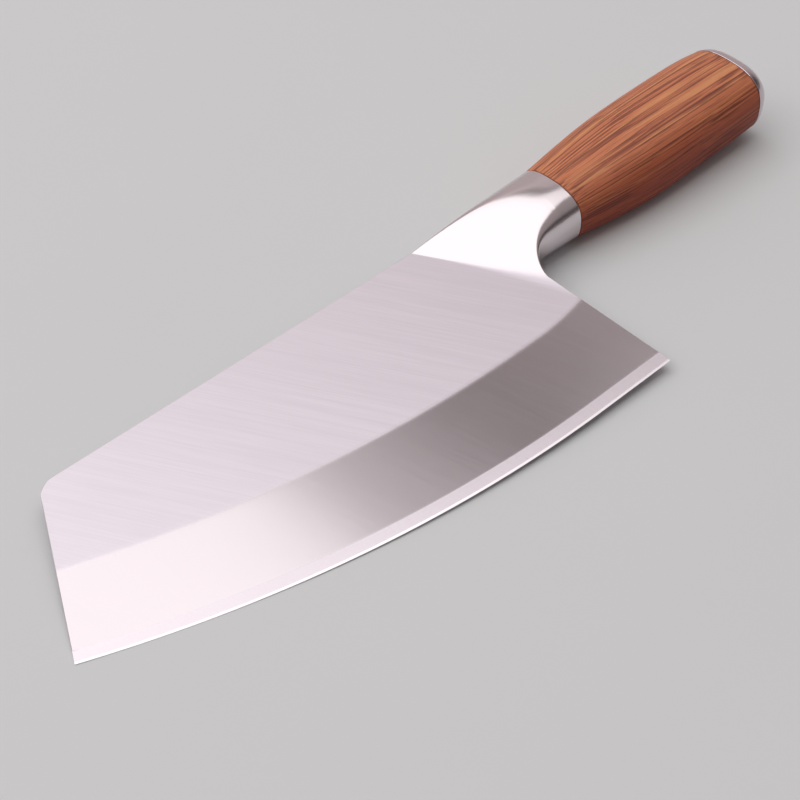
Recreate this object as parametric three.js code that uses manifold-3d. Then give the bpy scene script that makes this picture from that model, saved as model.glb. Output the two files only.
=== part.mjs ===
// Kitchen knife of the broad slicing-cleaver kind, in millimetres.
// Working frame: X along the handle's axis towards the butt, Y towards the spine, Z out of the left face.
// Its zero is where the handle's axis meets the joint between bolster and handle.
import * as THREE from 'three';
import { mergeVertices } from 'three/addons/utils/BufferGeometryUtils.js';
import Module from 'manifold-3d';

const wasm = await Module();
wasm.setup();

// Blade outline
const bladeReach = 222;          // joint to the tip, along the handle's axis
const bladeDepth = 73.6;         // handle's axis to the lowest point of the cutting edge
const edgeRadius = 432;          // curve of the cutting edge
const edgeLowPlace = 55;         // joint to where the curve ends; from there to the heel the edge is straight
const frontSlant = 27.5;         // degrees that the front leans out towards the tip
const frontCornerRadius = 11;    // round between spine and front
const spineRise = 0.9;           // degrees that the spine climbs towards the front
const heelLean = 0.9;            // the heel's corner stands this far behind the notch's line

// Blade grind, each width measured across the blade from the cutting edge
const bladeThickness = 2;
const bevelWidth = 33.4;         // main grind
const backEdgeWidth = 4.5;       // narrow band behind the edge
const backEdgeThickness = 0.88;
const honedWidth = 0.75;         // honed edge
const honedThickness = 0.4;
const edgeThickness = 0.08;

// Bolster
const collarHeight = 27.2;       // oval where it meets the handle
const collarThickness = 21;
const bolsterTopLength = 50;     // joint to the seam, along the spine
const heelSetback = 26.2;        // joint to the heel, at the foot of the notch
const notchRadius = 12;          // finger notch between collar and heel
const scoopRadius = 300;         // slightly hollow flank from collar down to blade
const scoopStartSlope = 18.5;    // degrees at which the flank leaves the blade

// Fullness of the ovals, as the power of a superellipse: an ellipse has 2, a fuller oval more
const gripFullness = 2.6;        // collar, handle and cap
const seamFullness = 1.9;        // bolster at the blade

// Tongue of the blade in the bolster's slot
const tongueWidth = 24;
const tongueLength = 12;
const slotCheek = 0.4;           // bolster wall beside the slot at the seam

// Handle, whose front oval is the collar's
const handleLength = 87;
const swellPlace = 32;           // joint to where the grip has swollen out
const swellHeight = 33.8;
const swellThickness = 26.6;
const swellRise = 0.1;           // the grip's back is arched, so its ovals sit above the axis
const bellyFromButt = 15.5;      // butt to the fattest place
const bellyHeight = 33.9;
const bellyThickness = 26.9;
const bellyRise = 0.9;
const buttHeight = 32.3;
const buttThickness = 25.6;
const buttRise = 0.6;

// End cap
const capThickness = 4.8;
const capRimRadius = 3.9;         // the cap is domed, with a small flat left in its middle
const capBossDepth = 3;

// Joint between bolster and handle, and the rod that clamps the handle
const spigotHeight = 16;
const spigotThickness = 11;
const spigotDepth = 6;
const rodDiameter = 6;
const rodGripInBolster = 18;     // screwed length, counted from the bolster's back face
const rodChamfer = 0.6;
const rodStandOut = 1.5;         // rod past the nut
const washerDiameter = 13;
const washerThickness = 1.6;
const nutAcrossFlats = 10;
const nutThickness = 5;

// Clearances
const seatGap = 0.25;            // between faces that bear on each other
const slideGap = 0.15;           // around what slides into a fitted hole
const boreGap = 0.4;             // around the rod in the wood

// Fineness of the facets
const ringPoints = 56;
const arcSteps = 16;
const rimSteps = 12;
const loftSteps = 32;
const barSides = 32;
const cutMargin = 8;             // how far cutting bodies run past what they cut

const alongX = new THREE.Matrix4().makeRotationZ(-Math.PI / 2);
const up = new THREE.Vector3(0, 0, 1);
const radians = THREE.MathUtils.degToRad;

// Corner points of the plan that blade and bolster share
const notchCentre = new THREE.Vector2(notchRadius - heelSetback, -collarHeight / 2 - notchRadius);
const seamTop = new THREE.Vector2(-bolsterTopLength, collarHeight / 2);
const seamFoot = new THREE.Vector2(-heelSetback, notchCentre.y);
const edgeCentre = new THREE.Vector2(-edgeLowPlace, edgeRadius - bladeDepth);

// Frame of the seam: X across it towards the handle, Y up out of the face, Z along it towards the notch
const seamLine = seamFoot.clone().sub(seamTop);
const seamAlong = new THREE.Vector3(seamLine.x, seamLine.y, 0).normalize();
const seamAcross = new THREE.Vector3().crossVectors(up, seamAlong);
const seamMiddle = seamTop.clone().add(seamFoot).divideScalar(2);
const seamFrame = new THREE.Matrix4().makeBasis(seamAcross, up, seamAlong);
seamFrame.setPosition(seamMiddle.x, seamMiddle.y, 0);

function toSolid(geometry) {
  const bare = geometry.clone();
  bare.deleteAttribute('normal');
  bare.deleteAttribute('uv');
  const merged = mergeVertices(bare, 1e-5);
  const vertProperties = new Float32Array(merged.attributes.position.array);
  const triVerts = new Uint32Array(merged.index.array);
  return new wasm.Manifold(new wasm.Mesh({ numProp: 3, vertProperties, triVerts }));
}

function toGeometry(solid) {
  const mesh = solid.getMesh();
  const geometry = new THREE.BufferGeometry();
  geometry.setAttribute('position', new THREE.BufferAttribute(mesh.vertProperties, 3));
  geometry.setIndex(new THREE.BufferAttribute(mesh.triVerts, 1));
  const faceted = geometry.toNonIndexed();
  faceted.computeVertexNormals();
  return faceted;
}

// Skin over a row of rings with equal point counts, closed by a fan at each end
function loft(rings) {
  const count = rings[0].length;
  const points = rings.flat();
  const faces = [];
  for (let row = 0; row + 1 < rings.length; row += 1) {
    for (let step = 0; step < count; step += 1) {
      const next = (step + 1) % count;
      const here = row * count;
      const ahead = here + count;
      faces.push(here + step, here + next, ahead + next);
      faces.push(here + step, ahead + next, ahead + step);
    }
  }
  const lastRow = rings.length - 1;
  for (const row of [0, lastRow]) {
    const hub = points.length;
    const middle = new THREE.Vector3();
    rings[row].forEach((point) => middle.addScaledVector(point, 1 / count));
    points.push(middle);
    for (let step = 0; step < count; step += 1) {
      const here = row * count + step;
      const next = row * count + ((step + 1) % count);
      faces.push(hub, row === 0 ? next : here, row === 0 ? here : next);
    }
  }
  const geometry = new THREE.BufferGeometry().setFromPoints(points);
  geometry.setIndex(faces);
  return geometry;
}

// Oval ring round a middle point: half its height is a vector in plan, half its thickness goes along Z
function ovalRing(middle, halfHeight, halfThickness, fullness) {
  return Array.from({ length: ringPoints }, (_, step) => {
    const turn = (2 * Math.PI * step) / ringPoints;
    const cosine = Math.cos(turn);
    const sine = Math.sin(turn);
    const reach = (Math.abs(cosine) ** fullness + Math.abs(sine) ** fullness) ** (-1 / fullness);
    const point = new THREE.Vector3(middle.x, middle.y, halfThickness * reach * sine);
    point.x += halfHeight.x * reach * cosine;
    point.y += halfHeight.y * reach * cosine;
    return point;
  });
}

function ovalAcrossAxis(place, height, thickness, rise) {
  const middle = new THREE.Vector2(place, rise);
  return ovalRing(middle, new THREE.Vector2(0, height / 2), thickness / 2, gripFullness);
}

function extrude(shape, depth) {
  return new THREE.ExtrudeGeometry(shape, { depth, bevelEnabled: false, curveSegments: arcSteps });
}

// Round body on the handle's axis from one place to another
function roundBar(diameter, from, to) {
  const bar = new THREE.CylinderGeometry(diameter / 2, diameter / 2, to - from, barSides);
  return bar.applyMatrix4(alongX).translate((from + to) / 2, 0, 0);
}

// Bar on the handle's axis whose section is a slot with round ends, standing along Y
function slotBar(height, thickness, from, to) {
  const radius = thickness / 2;
  const reach = height / 2 - radius;
  const shape = new THREE.Shape();
  shape.absarc(0, reach, radius, 0, Math.PI, false);
  shape.absarc(0, -reach, radius, Math.PI, 2 * Math.PI, false);
  return extrude(shape, to - from).rotateY(Math.PI / 2).translate(from, 0, 0);
}

// Rounds the corner of an outline with an arc tangent to both of its sides
function roundCorner(shape, before, corner, after, radius) {
  const back = before.clone().sub(corner).normalize();
  const ahead = after.clone().sub(corner).normalize();
  const half = back.angleTo(ahead) / 2;
  const centre = back.clone().add(ahead).setLength(radius / Math.sin(half)).add(corner);
  const start = back.multiplyScalar(radius / Math.tan(half)).add(corner).sub(centre);
  const end = ahead.multiplyScalar(radius / Math.tan(half)).add(corner).sub(centre);
  shape.absarc(centre.x, centre.y, radius, start.angle(), end.angle(), start.cross(end) < 0);
}

// Height of the cutting edge above the handle's axis at a place along it
function edgeHeight(place) {
  const across = Math.min(place - edgeCentre.x, 0);
  return edgeCentre.y - Math.sqrt(edgeRadius ** 2 - across ** 2);
}

// Plate with the blade's outline, running on past the cutting edge
function bladePlate() {
  const lean = Math.tan(radians(frontSlant));
  const tip = new THREE.Vector2(-bladeReach, edgeHeight(-bladeReach));
  const climb = Math.tan(radians(spineRise));
  const spineAtTip = seamTop.y + climb * (seamTop.x - tip.x);
  const cornerRun = (lean * (spineAtTip - tip.y)) / (1 + lean * climb);
  const frontCorner = new THREE.Vector2(tip.x + cornerRun, spineAtTip - climb * cornerRun);
  const bottom = -bladeDepth - cutMargin;
  const frontFoot = new THREE.Vector2(tip.x + lean * (bottom - tip.y), bottom);
  const heelCornerDrop = seamFoot.y - edgeHeight(-heelSetback);
  const heelRun = (heelLean / heelCornerDrop) * (seamFoot.y - bottom);
  const shape = new THREE.Shape();
  shape.moveTo(seamFoot.x, seamFoot.y);
  shape.lineTo(seamTop.x, seamTop.y);
  roundCorner(shape, seamTop, frontCorner, frontFoot, frontCornerRadius);
  shape.lineTo(frontFoot.x, frontFoot.y);
  shape.lineTo(seamFoot.x + heelRun, bottom);
  const depth = bladeThickness + 2 * cutMargin;
  return extrude(shape, depth).translate(0, 0, -depth / 2);
}

// Ground bar that follows the cutting edge: one wedge-shaped section, shifted along the edge's curve
function groundBar() {
  const top = 2 * bladeDepth + collarHeight;
  const profile = [
    [0, edgeThickness],
    [honedWidth, honedThickness],
    [backEdgeWidth, backEdgeThickness],
    [bevelWidth, bladeThickness],
    [top, bladeThickness],
  ];
  const left = profile.map(([height, thickness]) => [height, thickness / 2]);
  const right = profile.map(([height, thickness]) => [height, -thickness / 2]).reverse();
  const section = [...left, ...right];
  const start = -bladeReach - cutMargin;
  const end = -heelSetback + heelLean + cutMargin;
  const rings = Array.from({ length: loftSteps + 1 }, (_, row) => {
    const place = THREE.MathUtils.lerp(end, start, row / loftSteps);
    return section.map(([height, side]) => new THREE.Vector3(place, edgeHeight(place) + height, side));
  });
  return loft(rings);
}

// Block in the seam's frame that runs a length to each side of the seam
function seamBlock(back, ahead, thickness, width) {
  const block = new THREE.BoxGeometry(back + ahead, thickness, width);
  return block.translate((ahead - back) / 2, 0, 0).applyMatrix4(seamFrame);
}

function makeBlade() {
  const tongueThickness = bladeThickness - 2 * (slotCheek + slideGap);
  const tongue = seamBlock(tongueLength, tongueLength, tongueThickness, tongueWidth);
  const sheet = toSolid(groundBar()).intersect(toSolid(bladePlate()));
  return toGeometry(sheet.add(toSolid(tongue)));
}

// Oval bar that fans out from the collar to the seam, with the finger notch along its lower side
function bolsterBlank() {
  const lowerSide = new THREE.Path();
  lowerSide.moveTo(0, -collarHeight / 2);
  lowerSide.lineTo(notchCentre.x, -collarHeight / 2);
  lowerSide.absarc(notchCentre.x, notchCentre.y, notchRadius, Math.PI / 2, Math.PI, false);
  const upperSide = new THREE.LineCurve(new THREE.Vector2(0, collarHeight / 2), seamTop);
  const rings = Array.from({ length: loftSteps + 1 }, (_, row) => {
    const share = 1 - row / loftSteps;
    const top = upperSide.getPointAt(share);
    const foot = lowerSide.getPointAt(share);
    const middle = top.clone().add(foot).divideScalar(2);
    const fullness = THREE.MathUtils.lerp(gripFullness, seamFullness, share);
    return ovalRing(middle, top.sub(middle), collarThickness / 2, fullness);
  });
  return loft(rings);
}

// Body that hollows one flank of the bolster, from the blade's face up past the collar
function flankScoop() {
  const start = radians(scoopStartSlope);
  const rise = (collarThickness - bladeThickness) / 2 + cutMargin / 2;
  const finish = Math.acos(Math.cos(start) - rise / scoopRadius);
  const centre = new THREE.Vector2(-scoopRadius * Math.sin(start), scoopRadius * Math.cos(start));
  centre.y += bladeThickness / 2 - seatGap * Math.tan(start);
  const lead = start - cutMargin / scoopRadius;
  const shape = new THREE.Shape();
  shape.absarc(centre.x, centre.y, scoopRadius, lead - Math.PI / 2, finish - Math.PI / 2, false);
  shape.lineTo(centre.x + scoopRadius * Math.sin(lead), centre.y - scoopRadius * Math.cos(finish));
  const depth = 2 * seamLine.length() + 2 * cutMargin;
  return extrude(shape, depth).translate(0, 0, -depth / 2);
}

function makeBolster() {
  const upperScoop = flankScoop().applyMatrix4(seamFrame);
  const lowerScoop = flankScoop().rotateX(Math.PI).applyMatrix4(seamFrame);
  const seamRelief = seamBlock(cutMargin, seatGap, 2 * collarThickness, 2 * seamLine.length());
  const slot = seamBlock(
    cutMargin,
    tongueLength + seatGap,
    bladeThickness - 2 * slotCheek,
    tongueWidth + 2 * slideGap,
  );
  const spigot = slotBar(spigotHeight, spigotThickness, -cutMargin, spigotDepth);
  const rodHole = roundBar(rodDiameter + 2 * slideGap, -rodGripInBolster - seatGap, spigotDepth + cutMargin);
  const cuts = [upperScoop, lowerScoop, seamRelief, slot];
  const shaped = cuts.reduce((body, cut) => body.subtract(toSolid(cut)), toSolid(bolsterBlank()));
  return toGeometry(shaped.add(toSolid(spigot)).subtract(toSolid(rodHole)));
}

// Places along the axis where the pieces in the handle's tail sit
const handleStart = seatGap;
const handleEnd = handleStart + handleLength;
const bossEnd = handleEnd + seatGap - capBossDepth;
const rodEnd = bossEnd - seatGap;
const nutEnd = rodEnd - rodStandOut;
const nutStart = nutEnd - nutThickness;
const washerStart = nutStart - seatGap - washerThickness;
const recessFloor = washerStart - seatGap;
const nutAcrossCorners = (2 * nutAcrossFlats) / Math.sqrt(3);
const recessDiameter = Math.max(washerDiameter, nutAcrossCorners) + 2 * slideGap;

// Even steps along the grip of a size that is given at its front, swell, belly and butt
function alongGrip(...sizes) {
  const places = [handleStart, handleStart + swellPlace, handleEnd - bellyFromButt, handleEnd];
  const knots = places.map((place, at) => new THREE.Vector2(place, sizes[at]));
  return new THREE.SplineCurve(knots).getPoints(loftSteps);
}

function makeHandle() {
  const heights = alongGrip(collarHeight, swellHeight, bellyHeight, buttHeight);
  const thicknesses = alongGrip(collarThickness, swellThickness, bellyThickness, buttThickness);
  const rises = alongGrip(0, swellRise, bellyRise, buttRise);
  const rings = heights.map(({ x: place, y: height }, row) => (
    ovalAcrossAxis(place, height, thicknesses[row].y, rises[row].y)
  ));
  const bore = roundBar(rodDiameter + 2 * boreGap, -cutMargin, handleEnd);
  const mortise = slotBar(
    spigotHeight + 2 * slideGap,
    spigotThickness + 2 * slideGap,
    -cutMargin,
    spigotDepth + seatGap,
  );
  const recess = roundBar(recessDiameter, recessFloor, handleEnd + cutMargin);
  const cuts = [bore, mortise, recess];
  return toGeometry(cuts.reduce((body, cut) => body.subtract(toSolid(cut)), toSolid(loft(rings))));
}

// Oval plate with a rounded rim and a round boss that plugs the handle's recess
function makeEndCap() {
  const inner = handleEnd + seatGap;
  const rimStart = inner + capThickness - capRimRadius;
  const rings = [ovalAcrossAxis(inner, buttHeight, buttThickness, buttRise)];
  for (let step = 0; step <= rimSteps; step += 1) {
    const turn = (Math.PI / 2) * (step / rimSteps);
    const inset = 2 * capRimRadius * (1 - Math.cos(turn));
    const place = rimStart + capRimRadius * Math.sin(turn);
    rings.push(ovalAcrossAxis(place, buttHeight - inset, buttThickness - inset, buttRise));
  }
  const boss = roundBar(recessDiameter - 2 * slideGap, bossEnd, inner + capThickness / 2);
  return toGeometry(toSolid(loft(rings)).add(toSolid(boss)));
}

function makeTangRod() {
  const radius = rodDiameter / 2;
  const length = rodEnd + rodGripInBolster;
  const profile = [
    new THREE.Vector2(0, 0),
    new THREE.Vector2(radius - rodChamfer, 0),
    new THREE.Vector2(radius, rodChamfer),
    new THREE.Vector2(radius, length - rodChamfer),
    new THREE.Vector2(radius - rodChamfer, length),
    new THREE.Vector2(0, length),
  ];
  const rod = new THREE.LatheGeometry(profile, barSides);
  return rod.applyMatrix4(alongX).translate(-rodGripInBolster, 0, 0);
}

function makeWasher() {
  const inner = rodDiameter / 2 + slideGap;
  const outer = washerDiameter / 2;
  const profile = [
    new THREE.Vector2(inner, 0),
    new THREE.Vector2(outer, 0),
    new THREE.Vector2(outer, washerThickness),
    new THREE.Vector2(inner, washerThickness),
    new THREE.Vector2(inner, 0),
  ];
  return new THREE.LatheGeometry(profile, barSides).applyMatrix4(alongX).translate(washerStart, 0, 0);
}

function makeTangNut() {
  const reach = nutAcrossCorners / 2;
  const corners = Array.from({ length: 6 }, (_, side) => {
    const turn = (Math.PI / 3) * side;
    return new THREE.Vector2(reach * Math.cos(turn), reach * Math.sin(turn));
  });
  const shape = new THREE.Shape(corners);
  const hole = new THREE.Path();
  hole.absarc(0, 0, rodDiameter / 2 + slideGap, 0, 2 * Math.PI, true);
  shape.holes.push(hole);
  return extrude(shape, nutThickness).rotateY(Math.PI / 2).translate(nutStart, 0, 0);
}

const pieces = [
  ['blade', makeBlade(), { color: 0xcfc9ce, roughness: 0.32, metalness: 1 }],
  ['bolster', makeBolster(), { color: 0xdedadc, roughness: 0.1, metalness: 1 }],
  ['handle', makeHandle(), { color: 0x9a5536, roughness: 0.5, metalness: 0 }],
  ['end_cap', makeEndCap(), { color: 0xd6d2d5, roughness: 0.18, metalness: 1 }],
  ['tang_rod', makeTangRod(), { color: 0x9b9b9d, roughness: 0.4, metalness: 1 }],
  ['tang_washer', makeWasher(), { color: 0xb4b4b2, roughness: 0.35, metalness: 1 }],
  ['tang_nut', makeTangNut(), { color: 0xb4b4b2, roughness: 0.35, metalness: 1 }],
];

const assembly = new THREE.Group();
for (const [name, geometry, finish] of pieces) {
  const mesh = new THREE.Mesh(geometry, new THREE.MeshStandardMaterial(finish));
  mesh.name = name;
  assembly.add(mesh);
}

// The part's own zero is the middle of its length and height, on the plane that its lower side rests on
const box = new THREE.Box3().setFromObject(assembly);
const middle = box.getCenter(new THREE.Vector3());
assembly.position.set(-middle.x, -middle.y, -box.min.z);

const knife = new THREE.Group();
knife.add(assembly);

export default knife;
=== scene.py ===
import math

import bmesh
import bpy
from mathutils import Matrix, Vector


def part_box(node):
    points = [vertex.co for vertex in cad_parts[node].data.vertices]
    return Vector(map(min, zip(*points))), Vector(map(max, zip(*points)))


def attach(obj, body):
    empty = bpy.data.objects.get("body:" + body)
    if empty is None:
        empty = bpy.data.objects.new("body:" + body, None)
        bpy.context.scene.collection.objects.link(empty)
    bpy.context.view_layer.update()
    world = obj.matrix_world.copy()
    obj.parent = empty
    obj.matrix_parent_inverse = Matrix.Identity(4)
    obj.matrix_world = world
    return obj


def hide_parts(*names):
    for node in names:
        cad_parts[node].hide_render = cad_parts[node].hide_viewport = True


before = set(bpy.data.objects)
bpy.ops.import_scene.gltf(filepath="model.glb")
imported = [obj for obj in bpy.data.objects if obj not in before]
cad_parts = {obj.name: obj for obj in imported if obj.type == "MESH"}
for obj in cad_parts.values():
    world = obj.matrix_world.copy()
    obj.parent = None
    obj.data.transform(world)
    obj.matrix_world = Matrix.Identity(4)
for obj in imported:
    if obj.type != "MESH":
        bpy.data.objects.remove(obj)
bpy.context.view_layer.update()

mm = 0.001
weldReach = 1e-6                     # metres: points closer than this are one
hair = 0.01                          # millimetres: how near a point counts as in a plane

# The knife's own zero is where the handle's axis meets the joint between bolster and handle.
# Lengths below are in millimetres from there: x to the butt, y to the spine, z out of the left face.
seatGap = 0.25                       # between bolster and handle, and handle and cap
buttRise = 0.6                       # butt's middle above the handle's axis
capLow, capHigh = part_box("end_cap")
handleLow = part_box("handle")[0]
joint = Vector((
    handleLow.x - seatGap * mm,
    (capLow.y + capHigh.y) / 2 - buttRise * mm,
    (capLow.z + capHigh.z) / 2,
))

collarHeight = 27.2
collarThickness = 21
gripFullness = 2.6                   # power of the ovals: 2 is an ellipse, more is fuller
seamFullness = 1.9                   # the same for the bolster at the blade
roundMiddle = 0.3                    # depth and inset of a small round halfway along it, as a share of it
seamTop = Vector((-50, 13.6))        # spine end of the line where blade and bolster meet
seamFoot = Vector((-26.2, -25.6))    # notch end of that line
heelCorner = Vector((-25.3, -73.6))
seamAlong = (seamFoot - seamTop).normalized()
seamAcross = Vector((-seamAlong.y, seamAlong.x))

# The flank runs out into the blade beyond the seam, hardly at the spine and far down the heel.
lipStep = 0.5                        # millimetres along the spine
lipShare = 0.23                      # of the way down the heel
lipTop = seamTop - Vector((lipStep, 0))
lipFoot = seamFoot.lerp(heelCorner, lipShare)
lipAlong = (lipFoot - lipTop).normalized()
lipAcross = Vector((-lipAlong.y, lipAlong.x))


def at(x, y, z=0):
    return joint + Vector((x, y, z)) * mm


def ovalReach(turn, fullness):
    # how far a full oval of half size 1 reaches in that direction
    power = abs(math.cos(turn)) ** fullness + abs(math.sin(turn)) ** fullness
    return power ** (-1 / fullness)


# Modelling steps that every piece uses

def clear():
    active = bpy.context.view_layer.objects.active
    if active and active.mode != "OBJECT":
        bpy.ops.object.mode_set(mode="OBJECT")
    bpy.ops.object.select_all(action="DESELECT")


def begin(name):
    # the primitive just added takes its name and is opened for editing, with its place in its mesh
    piece = bpy.context.object
    piece.name = piece.data.name = name
    bpy.ops.object.transform_apply(location=True, rotation=True, scale=True)
    bpy.ops.object.mode_set(mode="EDIT")
    return piece


def pick(piece, kind, test):
    bpy.ops.mesh.select_mode(type=kind)
    bpy.ops.mesh.select_all(action="DESELECT")
    shape = bmesh.from_edit_mesh(piece.data)
    parts = {"VERT": shape.verts, "EDGE": shape.edges, "FACE": shape.faces}[kind]
    for part in parts:
        if test(part):
            part.select_set(True)
    shape.select_flush_mode()
    bmesh.update_edit_mesh(piece.data)


def closeUp(piece, smoothAngle):
    # doubles merged, holes filled, faces outwards, then smooth up to that angle
    bpy.ops.mesh.select_mode(type="VERT")
    bpy.ops.mesh.select_all(action="SELECT")
    bpy.ops.mesh.remove_doubles(threshold=weldReach)
    bpy.ops.mesh.fill_holes(sides=0)
    bpy.ops.mesh.select_all(action="SELECT")
    bpy.ops.mesh.normals_make_consistent(inside=False)
    bpy.ops.object.mode_set(mode="OBJECT")
    bpy.ops.object.shade_smooth_by_angle(angle=math.radians(smoothAngle))


def sweepOvals(name, ovals, points):
    # a ring extruded from oval to oval; each oval is (place, height, thickness, rise)
    clear()
    place, height, thickness, rise = ovals[0]
    turn = (0, math.pi / 2, 0)
    middle = at(place, rise)
    bpy.ops.mesh.primitive_circle_add(vertices=points, radius=0.5 * mm, location=middle, rotation=turn)
    piece = begin(name)
    shape = bmesh.from_edit_mesh(piece.data)
    for vert in shape.verts:
        spoke = vert.co - middle
        vert.co += spoke * (ovalReach(math.atan2(spoke.z, spoke.y), gripFullness) - 1)
    bmesh.update_edit_mesh(piece.data)
    bpy.ops.mesh.select_all(action="SELECT")
    bpy.ops.transform.resize(value=(1, height, thickness), center_override=middle)
    for before, after in zip(ovals, ovals[1:]):
        step = Vector((after[0] - before[0], after[3] - before[3], 0)) * mm
        bpy.ops.mesh.extrude_region_move(TRANSFORM_OT_translate={"value": step})
        growth = (1, after[1] / before[1], after[2] / before[2])
        bpy.ops.transform.resize(value=growth, center_override=at(after[0], after[3]))
    return piece


# Shader maths: a socket that can be reckoned with

class Wire:
    def __init__(self, socket):
        self.socket = socket

    def node(self, kind, settings=None, sockets=None, output=0):
        tree = self.socket.id_data
        made = tree.nodes.new(kind)
        for key, value in (settings or {}).items():
            if key == "stops":
                self.setStops(made.color_ramp.elements, value)
            else:
                setattr(made, key, value)
        for key, value in (sockets or {}).items():
            if isinstance(value, Wire):
                tree.links.new(value.socket, made.inputs[key])
            else:
                made.inputs[key].default_value = value
        return Wire(made.outputs[output])

    def setStops(self, elements, stops):
        while len(elements) < len(stops):
            elements.new(1)
        for element, (position, colour) in zip(elements, stops):
            element.position = position
            element.color = (*colour, 1)

    def math(self, operation, first, second=0.0):
        return self.node("ShaderNodeMath", {"operation": operation}, {0: first, 1: second})

    def __add__(self, other):
        return self.math("ADD", self, other)

    def __radd__(self, other):
        return self.math("ADD", other, self)

    def __sub__(self, other):
        return self.math("SUBTRACT", self, other)

    def __rsub__(self, other):
        return self.math("SUBTRACT", other, self)

    def __mul__(self, other):
        return self.math("MULTIPLY", self, other)

    def __rmul__(self, other):
        return self.math("MULTIPLY", other, self)

    def __truediv__(self, other):
        return self.math("DIVIDE", self, other)

    def ramp(self, low, high):
        # 0 below low, 1 above high, smooth between
        sockets = {"Value": self, "From Min": low, "From Max": high}
        return self.node("ShaderNodeMapRange", {"interpolation_type": "SMOOTHSTEP"}, sockets)

    def axis(self, index):
        return self.node("ShaderNodeSeparateXYZ", {}, {0: self}, index)

    def blend(self, first, second, way="MIX"):
        # mixes two colours by this value
        settings = {"data_type": "RGBA", "blend_type": way}
        return self.node("ShaderNodeMix", settings, {0: self, 6: first, 7: second}, 2)

    def stretched(self, size, turn=(0, 0, 0)):
        # coordinates counted in cells of that size in metres, turned first
        sockets = {"Vector": self, "Rotation": turn, "Scale": size}
        return self.node("ShaderNodeMapping", {"vector_type": "TEXTURE"}, sockets)

    def noise(self, detail, roughness=0.5, distortion=0.0):
        sockets = {"Vector": self, "Scale": 1.0, "Detail": detail}
        sockets.update({"Roughness": roughness, "Distortion": distortion})
        return self.node("ShaderNodeTexNoise", {}, sockets)

    def bump(self, depth):
        sockets = {"Height": self, "Distance": depth, "Strength": 1.0}
        return self.node("ShaderNodeBump", {}, sockets)

    def feed(self, shader, name):
        self.socket.id_data.links.new(self.socket, shader.inputs[name])


def rgb(red, green, blue):
    # a colour as seen on screen, 0 to 255, as the shader counts it
    def linear(level):
        share = level / 255
        return share / 12.92 if share <= 0.04045 else ((share + 0.055) / 1.055) ** 2.4
    return (linear(red), linear(green), linear(blue))


def newFinish(name):
    finish = bpy.data.materials.new(name)
    finish.use_nodes = True
    shader = finish.node_tree.nodes["Principled BSDF"]
    coords = Wire(finish.node_tree.nodes.new("ShaderNodeTexCoord").outputs["Object"])
    return finish, shader, coords


# Steel finishes: strokes are the grinding lines, turned in degrees from the handle's axis

hazeSize = 22                           # millimetres, of the patches that are a little duller
broadStroke = (2, 7)                    # length and width of the broad strokes in fine ones
fineShare = 0.65                        # of the fine strokes in the colour; the rest is the broad ones
strokeRange = (0.3, 0.7)                # values between which dull turns to bright
steelFinishes = {
    "flat": {
        "colour": (231, 224, 232),
        "dull": 0.92,                   # colour between the strokes against colour on them
        "strokeTurn": -59,
        "strokeSize": (24, 0.32),
        "roughness": 0.44,
        "roughnessSpread": 0.06,
        "strokeDepth": 0.004,
    },
    "bevel": {
        "colour": (216, 208, 212),
        "dull": 0.975,
        "strokeTurn": -76,
        "strokeSize": (40, 0.14),
        "roughness": 0.15,
        "roughnessSpread": 0.025,
        "strokeDepth": 0.0008,
    },
    "band": {
        "colour": (223, 215, 221),
        "dull": 0.96,
        "strokeTurn": -80,
        "strokeSize": (10, 0.16),
        "roughness": 0.30,
        "roughnessSpread": 0.06,
        "strokeDepth": 0.003,
    },
    "honed": {
        "colour": (234, 228, 232),
        "dull": 0.96,
        "strokeTurn": -70,
        "strokeSize": (4, 0.12),
        "roughness": 0.24,
        "roughnessSpread": 0.06,
        "strokeDepth": 0.002,
    },
    "polish": {
        "colour": (221, 212, 215),
        "dull": 0.985,
        "strokeTurn": -59,
        "strokeSize": (20, 0.16),
        "roughness": 0.19,
        "roughnessSpread": 0.02,
        "strokeDepth": 0.0001,
    },
    "cap": {
        "colour": (212, 199, 204),
        "dull": 0.96,
        "strokeTurn": 90,
        "strokeSize": (22, 0.20),
        "roughness": 0.16,
        "roughnessSpread": 0.06,
        "strokeDepth": 0.001,
    },
    "rod": {
        "colour": (150, 148, 148),
        "dull": 0.88,
        "strokeTurn": 90,
        "strokeSize": (30, 0.40),
        "roughness": 0.38,
        "roughnessSpread": 0.14,
        "strokeDepth": 0.006,
    },
}


def steelLayer(coords, name):
    # colour, roughness and stroke height of one finish
    look = steelFinishes[name]
    long, fine = look["strokeSize"]
    turn = (0, 0, math.radians(look["strokeTurn"]))
    broadLong, broadWide = long * broadStroke[0], fine * broadStroke[1]
    strokes = coords.stretched((long * mm, fine * mm, fine * mm), turn).noise(3, 0.6)
    broad = coords.stretched((broadLong * mm, broadWide * mm, broadWide * mm), turn).noise(2, 0.5)
    haze = coords.stretched((hazeSize * mm, hazeSize * mm, hazeSize * mm)).noise(3, 0.55)
    tone = strokes * fineShare + broad * (1 - fineShare)
    bright = rgb(*look["colour"])
    dull = tuple(level * look["dull"] for level in bright)
    colour = tone.ramp(*strokeRange).blend((*dull, 1), (*bright, 1))
    uneven = (strokes + broad + haze - 1.5) * look["roughnessSpread"]
    return colour, uneven + look["roughness"], strokes * look["strokeDepth"]


def layOver(mask, under, over):
    # one finish over another, where the mask is 1
    colour = mask.blend(under[0], over[0])
    roughness = under[1] + (over[1] - under[1]) * mask
    height = under[2] + (over[2] - under[2]) * mask
    return colour, roughness, height


def useSteel(shader, layer):
    colour, roughness, height = layer
    colour.feed(shader, "Base Color")
    roughness.feed(shader, "Roughness")
    height.bump(mm).feed(shader, "Normal")
    shader.inputs["Metallic"].default_value = 1.0


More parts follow.
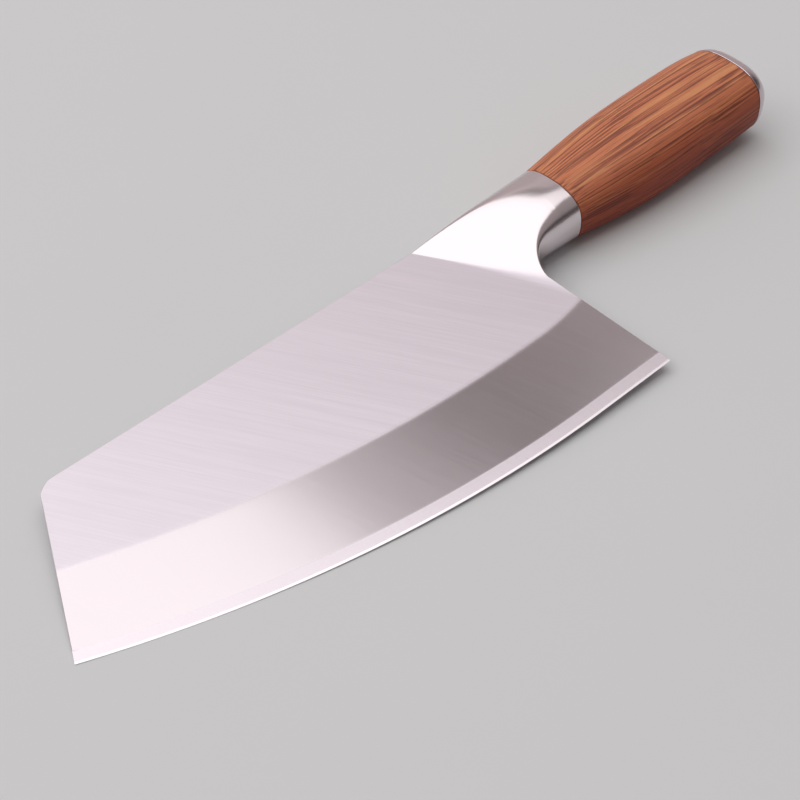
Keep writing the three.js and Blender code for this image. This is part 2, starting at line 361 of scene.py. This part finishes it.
def plainSteel(name):
    finish, shader, coords = newFinish(name + "Steel")
    useSteel(shader, steelLayer(coords, name))
    return finish


# Handle wood: oiled, straight grained, with dark growth lines and short open pores

wood = {
    "tan": (228, 166, 112),
    "middle": (214, 132, 94),
    "deep": (152, 84, 62),
    "line": (108, 56, 46),
    "pore": (84, 42, 32),
    "paintedShade": (0.50, 0.24, 0.18),        # tint of the painted shade along the lower side
    "paintedShadeStart": -5,                   # millimetres towards the lower side, from the axis
    "paintedShadeEnd": 13,
    "paintedShadeBands": 8,                    # how far the bands shift the border of that painted shade
    "paintedShadeStreaks": 14,                 # and the streaks
    "frontSlim": 0.2,                   # the grain draws in with the grip, at the collar
    "frontReach": (34, -4),             # between these places
    "buttSlim": 0.05,                   # and at the butt
    "buttReach": (68, 90),
    # length and width of one cell of each pattern, in millimetres
    "bands": (420, 5),
    "streaks": (140, 1.0),
    "tans": (110, 1.2),
    "lines": (80, 0.62),
    "fibres": (40, 0.36),
    "pores": (6, 0.2),
    # values of a pattern between which its colour sets in, and how strongly it covers
    "middleRange": (0.33, 0.54),
    "tanRange": (0.52, 0.68),
    "tanCover": 0.65,
    "lineRange": (0.50, 0.61),
    "lineCover": 0.72,
    "poreRange": (0.62, 0.72),
    "poreCover": 0.25,
    "reliefDepth": 0.05,
    "roughness": 0.5,
    "specular": 0.3,
}


def alongGrain(coords):
    # coordinates in which the grip is equally thick all along, so that the grain follows its swell
    place = coords.axis(0)
    front = place.ramp(*(at(end, 0).x for end in wood["frontReach"]))
    butt = place.ramp(*(at(end, 0).x for end in wood["buttReach"]))
    slim = 1.0 - front * wood["frontSlim"] - butt * wood["buttSlim"]
    y = (coords.axis(1) - joint.y) / slim
    z = (coords.axis(2) - joint.z) / slim
    return place.node("ShaderNodeCombineXYZ", {}, {0: place, 1: y, 2: z})


def makeWood():
    finish, shader, coords = newFinish("handleWood")
    grain = alongGrain(coords)

    def pattern(name, *character):
        long, wide = wood[name]
        return grain.stretched((long * mm, wide * mm, wide * mm)).noise(*character)

    def paint(name):
        return (*rgb(*wood[name]), 1)

    bands = pattern("bands", 2, 0.5, 0.1)
    streaks = pattern("streaks", 3, 0.6, 0.1)
    tans = pattern("tans", 2, 0.55, 0.1)
    lines = pattern("lines", 3, 0.5, 0.1)
    fibres = pattern("fibres", 3, 0.65)
    poreMask = pattern("pores", 1, 0.5).ramp(*wood["poreRange"])
    tone = bands * 0.2 + streaks * 0.4 + fibres * 0.4
    plain = tone.ramp(*wood["middleRange"]).blend(paint("deep"), paint("middle"))
    tanMask = tans.ramp(*wood["tanRange"]) * wood["tanCover"]
    lineMask = lines.ramp(*wood["lineRange"]) * wood["lineCover"]
    streaked = tanMask.blend(plain, paint("tan"))
    lined = lineMask.blend(streaked, paint("line"))
    pored = (poreMask * wood["poreCover"]).blend(lined, paint("pore"))
    # painted shade: the lower side is darker, with a border that follows bands and streaks
    low = joint.y + joint.z - coords.axis(1) - coords.axis(2)
    shift = (bands - 0.5) * (wood["paintedShadeBands"] * mm) + (streaks - 0.5) * (wood["paintedShadeStreaks"] * mm)
    uneven = low * math.sqrt(0.5) + shift
    paintedShadeMask = uneven.ramp(wood["paintedShadeStart"] * mm, wood["paintedShadeEnd"] * mm)
    paintedShadeMask.blend(pored, (*wood["paintedShade"], 1), "MULTIPLY").feed(shader, "Base Color")
    (poreMask * 0.2 + (fibres - 0.5) * 0.12 + wood["roughness"]).feed(shader, "Roughness")
    (fibres * 0.35 - poreMask * 0.65).bump(wood["reliefDepth"] * mm).feed(shader, "Normal")
    shader.inputs["Specular IOR Level"].default_value = wood["specular"]
    return finish


handleWood = makeWood()
print("handle wood done")


# Blade: one ground section extruded along the curve of the cutting edge, then trimmed to its outline

blade = {
    "reach": 222,                   # joint to the tip
    "edgeRadius": 432,
    "edgeCentre": (-55, 358.4),     # behind this place the edge is straight
    "frontSlant": 27.5,             # degrees
    "cornerRadius": 8,
    "cornerCuts": 16,
    "spineRise": 0.9,               # degrees
    "thickness": 2,
    "blankHeight": 112,
    "honed": (0.75, 0.4),           # height above the edge, thickness there
    "band": (4.5, 0.88),
    "bevel": (33.4, 2),
    "edgeThickness": 0.08,
    "lineRounds": (0.4, 1.5),       # half widths of the rounded lines above band and bevel
    "lineCuts": 5,
    "liftStart": -48,               # from here to the heel the bevel's upper line climbs
    "heelLift": 2.8,
    # half widths over which the finishes of honed edge, band, bevel and flat meet
    "finishBlends": (0.06, 0.3, 1.3),
    "barSpare": 10,                 # length of the bar beyond heel and tip
    "stations": 92,
    "edgeRound": 0.22,
    "edgeRoundSteps": 3,
    "mergeReach": 0.02,             # cuts that meet closer than this become one corner
    "wallTilt": 0.3,                # faces that rise more steeply than this are walls of the sheet
    "faceTilt": 0.9,                # and flatter ones than this are its sides
    "smoothAngle": 5,               # degrees up to which faces are shaded as one
}


def edgeHeight(x):
    middle, height = blade["edgeCentre"]
    across = min(x - middle, 0)
    return height - math.sqrt(blade["edgeRadius"] ** 2 - across ** 2)


def bevelLift(x):
    share = max(x - blade["liftStart"], 0) / (heelCorner.x - blade["liftStart"])
    return blade["heelLift"] * share ** 2


def aboveEdge(point):
    spot = (point - joint) / mm
    return spot.y - edgeHeight(spot.x)


def groundRows():
    # heights above the edge and the thickness there; the lines above band and bevel are rounded
    corners = [blade["honed"], blade["band"], blade["bevel"], (blade["blankHeight"], blade["thickness"])]
    rows = [(0, blade["edgeThickness"]), blade["honed"]]
    cuts = blade["lineCuts"]
    for before, corner, after, reach in zip(corners, corners[1:], corners[2:], blade["lineRounds"]):
        slopeBefore = (corner[1] - before[1]) / (corner[0] - before[0])
        slopeAfter = (after[1] - corner[1]) / (after[0] - corner[0])
        for step in range(-cuts - 1, cuts + 2):
            offset = reach * step / cuts
            slope = slopeBefore if step < 0 else slopeAfter
            near = max(reach - abs(offset), 0)
            bend = (slopeAfter - slopeBefore) * near ** 2 / (4 * reach)
            rows.append((corner[0] + offset, corner[1] + slope * offset + bend))
    return rows


def extrudeGroundBar():
    first = seamFoot.x + blade["barSpare"]
    last = -blade["reach"] - blade["barSpare"]
    foot = edgeHeight(first)
    middle = at(first, foot + blade["blankHeight"] / 2)
    clear()
    bpy.ops.mesh.primitive_plane_add(size=mm, location=middle, rotation=(0, math.pi / 2, 0))
    bpy.context.object.scale = (blade["thickness"], blade["blankHeight"], 1)
    piece = begin("groundBlade")
    rows = groundRows()
    for row in rows[1:]:
        bpy.ops.mesh.select_all(action="SELECT")
        bpy.ops.mesh.bisect(plane_co=at(first, foot + row[0]), plane_no=(0, 1, 0))
    for height, thickness in rows:
        line = at(first, foot + height)
        pick(piece, "VERT", lambda vert: abs(vert.co.y - line.y) < hair * mm)
        bpy.ops.transform.resize(value=(1, 1, thickness / blade["thickness"]), center_override=line)
    pick(piece, "FACE", lambda face: True)
    count = blade["stations"]
    places = [first + (last - first) * step / count for step in range(count + 1)]
    for before, after in zip(places, places[1:]):
        step = Vector((after - before, edgeHeight(after) - edgeHeight(before), 0)) * mm
        bpy.ops.mesh.extrude_region_move(TRANSFORM_OT_translate={"value": step})
    shape = bmesh.from_edit_mesh(piece.data)
    for vert in shape.verts:
        if abs(aboveEdge(vert.co) - blade["bevel"][0]) < 2 * blade["lineRounds"][1]:
            vert.co.y += bevelLift((vert.co.x - joint.x) / mm) * mm
    bmesh.update_edit_mesh(piece.data)
    return piece


def trim(point, outward):
    # cuts off what lies outward of an upright plane
    bpy.ops.mesh.select_mode(type="VERT")
    bpy.ops.mesh.select_all(action="SELECT")
    bpy.ops.mesh.bisect(plane_co=at(*point), plane_no=(*outward, 0), use_fill=True, clear_outer=True)


def trimOutline():
    rise = math.radians(blade["spineRise"])
    slant = math.radians(blade["frontSlant"])
    spineOut = Vector((math.sin(rise), math.cos(rise)))
    frontOut = Vector((-math.cos(slant), math.sin(slant)))
    tip = Vector((-blade["reach"], edgeHeight(-blade["reach"])))
    heelOut = Vector((seamFoot.y - heelCorner.y, heelCorner.x - seamFoot.x)).normalized()
    trim(seamTop, spineOut)
    trim(tip, frontOut)
    trim(heelCorner, heelOut)
    trim(lipTop, lipAcross)
    # middle of the round corner: as far inside the spine's line as inside the front's
    radius = blade["cornerRadius"]
    spineIn = spineOut.dot(seamTop) - radius
    frontIn = frontOut.dot(tip) - radius
    spread = spineOut.x * frontOut.y - spineOut.y * frontOut.x
    centreX = (spineIn * frontOut.y - spineOut.y * frontIn) / spread
    centreY = (spineOut.x * frontIn - spineIn * frontOut.x) / spread
    centre = Vector((centreX, centreY))
    for step in range(1, blade["cornerCuts"]):
        outward = spineOut.slerp(frontOut, step / blade["cornerCuts"])
        trim(centre + outward * radius, outward)


def makeBladeSteel():
    # four finishes, parted by the height above the cutting edge
    finish, shader, coords = newFinish("bladeSteel")
    middle, centreHeight = blade["edgeCentre"]
    fromMiddle = coords.axis(0) - at(middle, 0).x
    across = fromMiddle.math("MINIMUM", fromMiddle, 0.0)
    squared = (blade["edgeRadius"] * mm) ** 2 - across * across
    height = coords.axis(1) - at(0, centreHeight).y + squared.math("SQRT", squared)
    fromLift = coords.axis(0) - at(blade["liftStart"], 0).x
    climb = fromLift.math("MAXIMUM", fromLift, 0.0)
    run = heelCorner.x - blade["liftStart"]
    lowered = height - climb * climb * (blade["heelLift"] / run ** 2 / mm)
    layer = steelLayer(coords, "honed")
    lines = [
        ("band", height, blade["honed"][0]),
        ("bevel", height, blade["band"][0]),
        ("flat", lowered, blade["bevel"][0]),
    ]
    for (name, level, line), reach in zip(lines, blade["finishBlends"]):
        mask = level.ramp((line - reach) * mm, (line + reach) * mm)
        layer = layOver(mask, layer, steelLayer(coords, name))
    useSteel(shader, layer)
    return finish


def makeBlade():
    piece = extrudeGroundBar()
    trimOutline()
    bpy.ops.mesh.select_all(action="SELECT")
    bpy.ops.mesh.remove_doubles(threshold=blade["mergeReach"] * mm)
    bpy.ops.mesh.select_all(action="SELECT")
    bpy.ops.mesh.normals_make_consistent(inside=False)

    def isRim(edge):
        middle = (edge.verts[0].co + edge.verts[1].co) / 2
        fromLip = (middle - at(*lipTop)).dot(Vector((*lipAcross, 0)))
        if len(edge.link_faces) != 2 or aboveEdge(middle) < blade["band"][0] or fromLip > -hair * mm:
            return False
        wall, side = sorted(abs(face.normal.z) for face in edge.link_faces)
        return wall < blade["wallTilt"] and side > blade["faceTilt"]

    pick(piece, "EDGE", isRim)
    roundSize = blade["edgeRound"] * mm
    steps = blade["edgeRoundSteps"]
    bpy.ops.mesh.bevel(offset=roundSize, offset_type="OFFSET", segments=steps, affect="EDGES")
    bpy.ops.mesh.select_all(action="SELECT")
    bpy.ops.mesh.remove_doubles(threshold=weldReach)
    bpy.ops.mesh.select_all(action="SELECT")
    bpy.ops.mesh.dissolve_degenerate(threshold=weldReach)
    bpy.ops.object.mode_set(mode="OBJECT")
    bpy.ops.object.shade_smooth_by_angle(angle=math.radians(blade["smoothAngle"]))
    piece.data.materials.append(makeBladeSteel())
    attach(piece, "root")
    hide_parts("blade")


makeBlade()
print("blade done")


# Bolster: a grid wrapped into an oval bar that fans out from collar to seam, both flanks hollowed

bolster = {
    "notchRadius": 12,
    "scoopRadius": 300,
    "scoopStart": 18.5,             # degrees at which the flank leaves the blade
    "soften": (0.35, 0.22),         # round between flank and collar: least, and growth with the depth
    "lipRound": (0.1, 1.5),         # round between flank and blade: at the spine, at the notch
    "lipRows": 14,
    "brushedTop": 0.4,              # width over which the brushed finish gives way, at the spine
    "brushedFoot": 4.4,             # and at the notch
    "brushedSpan": (-0.4, 0.7),     # where that lies before and behind the seam, in shares of the width
    "notchStart": (-8, -4),         # the notch's edge is smoothed forward of and below this place
    "notchClear": 0.15,             # up to this near to the seam
    "notchSmooth": 30,              # smoothing passes
    "rimRound": 0.35,
    "rimRows": 5,
    "rows": 130,
    "points": 288,
    "smoothAngle": 40,
}


def notchSide(share):
    # lower outline: straight under the collar, then round the finger notch down to the heel
    radius = bolster["notchRadius"]
    centre = Vector((radius + seamFoot.x, seamFoot.y))
    straight = -centre.x
    run = share * (straight + radius * math.pi / 2)
    if run < straight:
        return Vector((-run, -collarHeight / 2))
    turn = (run - straight) / radius
    return centre + Vector((-math.sin(turn), math.cos(turn))) * radius


def softMin(first, second, width):
    near = max(width - abs(first - second), 0) / width
    return max(min(first, second) - near * near * width / 4, 0)


def softMax(first, second, width):
    near = max(width - abs(first - second), 0) / width
    return max(first, second) + near * near * width / 4


def flankDepth(plan):
    start = math.radians(bolster["scoopStart"])
    radius = bolster["scoopRadius"]
    across = (plan - seamTop).dot(seamAcross) + radius * math.sin(start)
    rise = radius * math.cos(start) - math.sqrt(radius ** 2 - across ** 2)
    down = (plan - seamTop).dot(seamAlong) / (seamFoot - seamTop).length
    least, most = bolster["lipRound"]
    return blade["thickness"] / 2 + softMax(rise, 0, least + (most - least) * down ** 2)


def bolsterPoint(share, turn, inset):
    # shares up to 1 lie between collar and seam, up to 2 between seam and lip
    fan = min(share, 1)
    top = Vector((0, collarHeight / 2)).lerp(seamTop, fan).lerp(lipTop, share - fan)
    foot = notchSide(fan).lerp(lipFoot, share - fan)
    middle = (top + foot) / 2
    half = top - middle
    half -= half.normalized() * inset
    reach = ovalReach(turn, gripFullness + (seamFullness - gripFullness) * fan)
    plan = middle + half * reach * math.cos(turn)
    flank = flankDepth(plan)
    oval = (collarThickness / 2 - inset) * reach * math.sin(turn)
    least, growth = bolster["soften"]
    depth = softMin(abs(oval), flank, least + growth * flank)
    return at(plan.x, plan.y, math.copysign(depth, oval))


def bolsterRow(row):
    # share of the way to the seam or lip, and inset of the oval, for one row of the grid
    rim = bolster["rimRound"]
    length = -seamTop.x
    if row < bolster["rimRows"]:
        turn = math.pi / 2 * row / bolster["rimRows"]
        return rim * (1 - math.cos(turn)) / length, rim * (1 - math.sin(turn))
    if row > bolster["rows"]:
        return 1 + (row - bolster["rows"]) / bolster["lipRows"], 0
    step = (row - bolster["rimRows"]) / (bolster["rows"] - bolster["rimRows"])
    start = rim / length
    return start + (1 - start) * step, 0


def makeBolsterSteel():
    # polished, and brushed like the blade where the lip runs out into it
    finish, shader, coords = newFinish("bolsterSteel")
    fromTopX = coords.axis(0) - at(*seamTop).x
    fromTopY = coords.axis(1) - at(*seamTop).y
    above = fromTopX * seamAcross.x + fromTopY * seamAcross.y
    down = (fromTopX * seamAlong.x + fromTopY * seamAlong.y) / ((seamFoot - seamTop).length * mm)
    width = down * down * (bolster["brushedFoot"] * mm) + bolster["brushedTop"] * mm
    before, behind = bolster["brushedSpan"]
    polished = above.ramp(width * before, width * behind)
    useSteel(shader, layOver(polished, steelLayer(coords, "flat"), steelLayer(coords, "polish")))
    return finish


def makeBolster():
    rows, points = bolster["rows"] + bolster["lipRows"], bolster["points"]
    clear()
    bpy.ops.mesh.primitive_grid_add(x_subdivisions=points, y_subdivisions=rows, size=1)
    piece = begin("castBolster")
    shape = bmesh.from_edit_mesh(piece.data)
    for vert in shape.verts:
        share, inset = bolsterRow(round((vert.co.y + 0.5) * rows))
        turn = 2 * math.pi * (round((vert.co.x + 0.5) * points) % points) / points
        vert.co = bolsterPoint(share, turn, inset)
    bmesh.update_edit_mesh(piece.data)
    closeUp(piece, bolster["smoothAngle"])
    bpy.ops.object.mode_set(mode="EDIT")

    def nearNotch(vert):
        spot = (vert.co - joint) / mm
        plan = Vector((spot.x, spot.y))
        forward, below = bolster["notchStart"]
        clearOfSeam = (plan - seamTop).dot(seamAcross) > bolster["notchClear"]
        return plan.x < forward and plan.y < below and clearOfSeam

    pick(piece, "VERT", nearNotch)
    bpy.ops.mesh.vertices_smooth(factor=0.5, repeat=bolster["notchSmooth"])
    bpy.ops.object.mode_set(mode="OBJECT")
    piece.data.materials.append(makeBolsterSteel())
    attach(piece, "root")
    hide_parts("bolster")


makeBolster()
print("bolster done")


# Handle: ovals given at its front, swell, belly and butt, with a smooth curve through them

handle = {
    "length": 87,
    "places": (0, 32, 71.5, 87),
    "heights": (27.2, 33.8, 33.9, 32.3),
    "thicknesses": (21, 26.6, 26.9, 25.6),
    "rises": (0, 0.1, 0.9, 0.6),
    "endRound": 0.3,
    "stations": 64,
    "points": 160,
    "smoothAngle": 30,
}


def alongGrip(sizes, share):
    spot = share * (len(sizes) - 1)
    here = min(int(spot), len(sizes) - 2)
    t = spot - here
    start, end = sizes[here], sizes[here + 1]
    leave = (end - sizes[max(here - 1, 0)]) / 2
    arrive = (sizes[min(here + 2, len(sizes) - 1)] - start) / 2
    cubic = 2 * start - 2 * end + leave + arrive
    square = 3 * end - 3 * start - 2 * leave - arrive
    return cubic * t ** 3 + square * t ** 2 + leave * t + start


def gripOval(share, inset):
    sizes = [alongGrip(handle[key], share) for key in ("places", "heights", "thicknesses", "rises")]
    return (sizes[0] + seatGap, sizes[1] - 2 * inset, sizes[2] - 2 * inset, sizes[3])


def makeHandle():
    rim = handle["endRound"]
    rimShare = rim / handle["length"]
    count = handle["stations"]
    shares = [rimShare + (1 - 2 * rimShare) * step / count for step in range(count + 1)]
    ovals = [gripOval(0, rim), gripOval(rimShare * roundMiddle, rim * roundMiddle)]
    ovals += [gripOval(share, 0) for share in shares]
    ovals += [gripOval(1 - rimShare * roundMiddle, rim * roundMiddle), gripOval(1, rim)]
    piece = sweepOvals("woodGrip", ovals, handle["points"])
    closeUp(piece, handle["smoothAngle"])
    piece.data.materials.append(handleWood)
    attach(piece, "root")
    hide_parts("handle")


makeHandle()
print("handle done")


# End cap: a domed oval plate that leans in at the wood and is flat in the middle

cap = {
    "thickness": 5.7,
    "rimRadius": 4.1,               # width of the dome round the flat
    "rimStart": 15,                 # degrees by which it leans in at the wood
    "innerRound": 0.25,
    "rimSteps": 16,
    "plateInset": 0.5,
    "points": 160,
    "smoothAngle": 30,
}


def makeCap():
    inner = handle["length"] + 2 * seatGap
    height, thickness = handle["heights"][-1], handle["thicknesses"][-1]
    small = cap["innerRound"]
    part = small * roundMiddle
    ovals = [
        (inner, height - 2 * small, thickness - 2 * small, buttRise),
        (inner + part, height - 2 * part, thickness - 2 * part, buttRise),
        (inner + small, height, thickness, buttRise),
    ]
    first = math.radians(cap["rimStart"])
    for step in range(1, cap["rimSteps"] + 1):
        turn = first + (math.pi / 2 - first) * step / cap["rimSteps"]
        rise = (math.sin(turn) - math.sin(first)) / (1 - math.sin(first))
        inset = 2 * cap["rimRadius"] * (1 - math.cos(turn) / math.cos(first))
        place = inner + small + (cap["thickness"] - small) * rise
        ovals.append((place, height - inset, thickness - inset, buttRise))
    piece = sweepOvals("buttCap", ovals, cap["points"])
    closeUp(piece, cap["smoothAngle"])
    bpy.ops.object.mode_set(mode="EDIT")
    outer = at(inner + cap["thickness"], 0).x
    pick(piece, "FACE", lambda face: abs(face.calc_center_median().x - outer) < hair * mm)
    bpy.ops.mesh.inset(thickness=cap["plateInset"] * mm, depth=0)
    bpy.ops.object.mode_set(mode="OBJECT")
    piece.data.materials.append(plainSteel("cap"))
    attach(piece, "root")
    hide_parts("end_cap")


makeCap()
print("end cap done")


# Rod, washer and nut inside the handle keep their solids and get a machined finish

rodSteel = plainSteel("rod")
for name in ("tang_rod", "tang_washer", "tang_nut"):
    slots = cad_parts[name].material_slots
    for slot in slots:
        slot.material = rodSteel
    if not slots:
        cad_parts[name].data.materials.append(rodSteel)
print("inner fittings done")


# Studio: pale floor under tip and handle, a large lamp overhead, smaller ones beside it, a grey room

studio = {
    "floorColour": (219, 222, 223),
    "floorDim": 0.985,              # its faint clouds, against that colour
    "floorCloud": 60,
    "floorRoughness": 0.9,
    "floorSpecular": 0.2,
    "floorSize": 12,                # metres
    "floorGap": 0.1,
    "edgeContact": -197,            # place where the cutting edge touches the floor
    "gripContact": 32,              # place where the handle touches it
    "gripContactRise": 1,
    "gripContactDrop": 13.3,
    "lampHeight": 2.0,              # metres
    "lampMiddle": (-90, -20),
    "softbox": {"x": (-1.2, 0.48), "y": (-0.25, 1.15), "strength": 1.22},
    "skirt": {"x": (0.48, 0.60), "y": (0.42, 1.15), "strength": 0.32},
    "strip": {"x": (0.48, 0.84), "y": (-0.17, 0.42), "strength": 0.93},
    "fill": {"x": (0.74, 0.90), "y": (0.42, 0.52), "strength": 0.17},
    # brightness of the room by height, 0 level and 1 overhead, before the edge and behind the spine
    "frontRoom": [
        (0, 0.24), (0.15, 0.18), (0.25, 0.08), (0.38, 0.08), (0.50, 0.28), (0.75, 0.34), (1, 0.36),
    ],
    "backRoom": [
        (0, 0.52), (0.5, 0.52), (0.60, 0.62), (0.66, 0.60), (0.71, 0.32), (0.76, 0.22), (1, 0.34),
    ],
    "roomTurn": (-0.2, 0.3),        # directions between which the one gives way to the other
    "roomTint": (1.03, 0.91, 0.90),
}


def makeFloor():
    # a plane that holds the edge's own direction where it touches and passes under the handle
    x = studio["edgeContact"]
    touch = at(x, edgeHeight(x), 0)
    slope = edgeHeight(x + 0.5) - edgeHeight(x - 0.5)
    edgeWay = Vector((1, slope, 0)).normalized()
    toGrip = at(studio["gripContact"], studio["gripContactRise"], -studio["gripContactDrop"]) - touch
    upward = edgeWay.cross(toGrip).normalized()
    clear()
    turn = upward.to_track_quat("Z", "Y").to_euler()
    drop = upward * studio["floorGap"] * mm
    bpy.ops.mesh.primitive_plane_add(size=studio["floorSize"], location=touch - drop, rotation=turn)
    floor = bpy.context.object
    floor.name = "floor"
    finish, shader, coords = newFinish("floorPaint")
    pale = rgb(*studio["floorColour"])
    size = studio["floorCloud"] * mm
    cloud = coords.stretched((size, size, size)).noise(3, 0.5)
    dim = tuple(level * studio["floorDim"] for level in pale)
    cloud.blend((*dim, 1), (*pale, 1)).feed(shader, "Base Color")
    shader.inputs["Roughness"].default_value = studio["floorRoughness"]
    shader.inputs["Specular IOR Level"].default_value = studio["floorSpecular"]
    floor.data.materials.append(finish)


def makeLamp(name):
    # a lamp that faces down; its sides are shares of its height, its strength the brightness of its face
    look = studio[name]
    height = studio["lampHeight"]
    (left, right), (near, far) = look["x"], look["y"]
    lamp = bpy.data.lights.new(name, "AREA")
    lamp.shape = "RECTANGLE"
    lamp.size, lamp.size_y = (right - left) * height, (far - near) * height
    lamp.energy = look["strength"] * math.pi * lamp.size * lamp.size_y
    box = bpy.data.objects.new(name, lamp)
    box.location = at(*studio["lampMiddle"]) + Vector(((left + right) / 2, (near + far) / 2, 1)) * height
    bpy.context.scene.collection.objects.link(box)


def makeRoom():
    room = bpy.data.worlds.new("room")
    bpy.context.scene.world = room
    room.use_nodes = True
    tree = room.node_tree
    direction = Wire(tree.nodes.new("ShaderNodeTexCoord").outputs["Generated"])
    upward = direction.axis(2)

    def shade(levels):
        stops = [(height, [level * share for share in studio["roomTint"]]) for height, level in levels]
        return upward.node("ShaderNodeValToRGB", {"stops": stops}, {"Fac": upward})

    backward = direction.axis(1).ramp(*studio["roomTurn"])
    walls = backward.blend(shade(studio["frontRoom"]), shade(studio["backRoom"]))
    walls.feed(tree.nodes["Background"], "Color")


makeFloor()
for name in ("softbox", "skirt", "strip", "fill"):
    makeLamp(name)
makeRoom()
print("studio done")


# Camera at the photograph's angle

camera = {
    "aim": (-95.5, -29.6, 0),
    "elevation": 47,
    "azimuth": -43.35,
    "distance": 559.9,
    "lens": 85.5,
    "sensor": 36,
    "clip": (0.01, 50),             # metres
}


def makeCamera():
    tilt = math.radians(90 - camera["elevation"])
    turn = math.radians(camera["azimuth"])
    ahead = Vector((-math.sin(turn) * math.sin(tilt), math.cos(turn) * math.sin(tilt), -math.cos(tilt)))
    lens = bpy.data.cameras.new("camera")
    lens.lens = camera["lens"]
    lens.sensor_width = camera["sensor"]
    lens.clip_start, lens.clip_end = camera["clip"]
    eye = bpy.data.objects.new("camera", lens)
    eye.location = at(*camera["aim"]) - ahead * camera["distance"] * mm
    eye.rotation_euler = (tilt, 0, turn)
    bpy.context.scene.collection.objects.link(eye)
    bpy.context.scene.camera = eye


makeCamera()
bpy.context.scene.view_settings.view_transform = "Standard"
print("camera done")
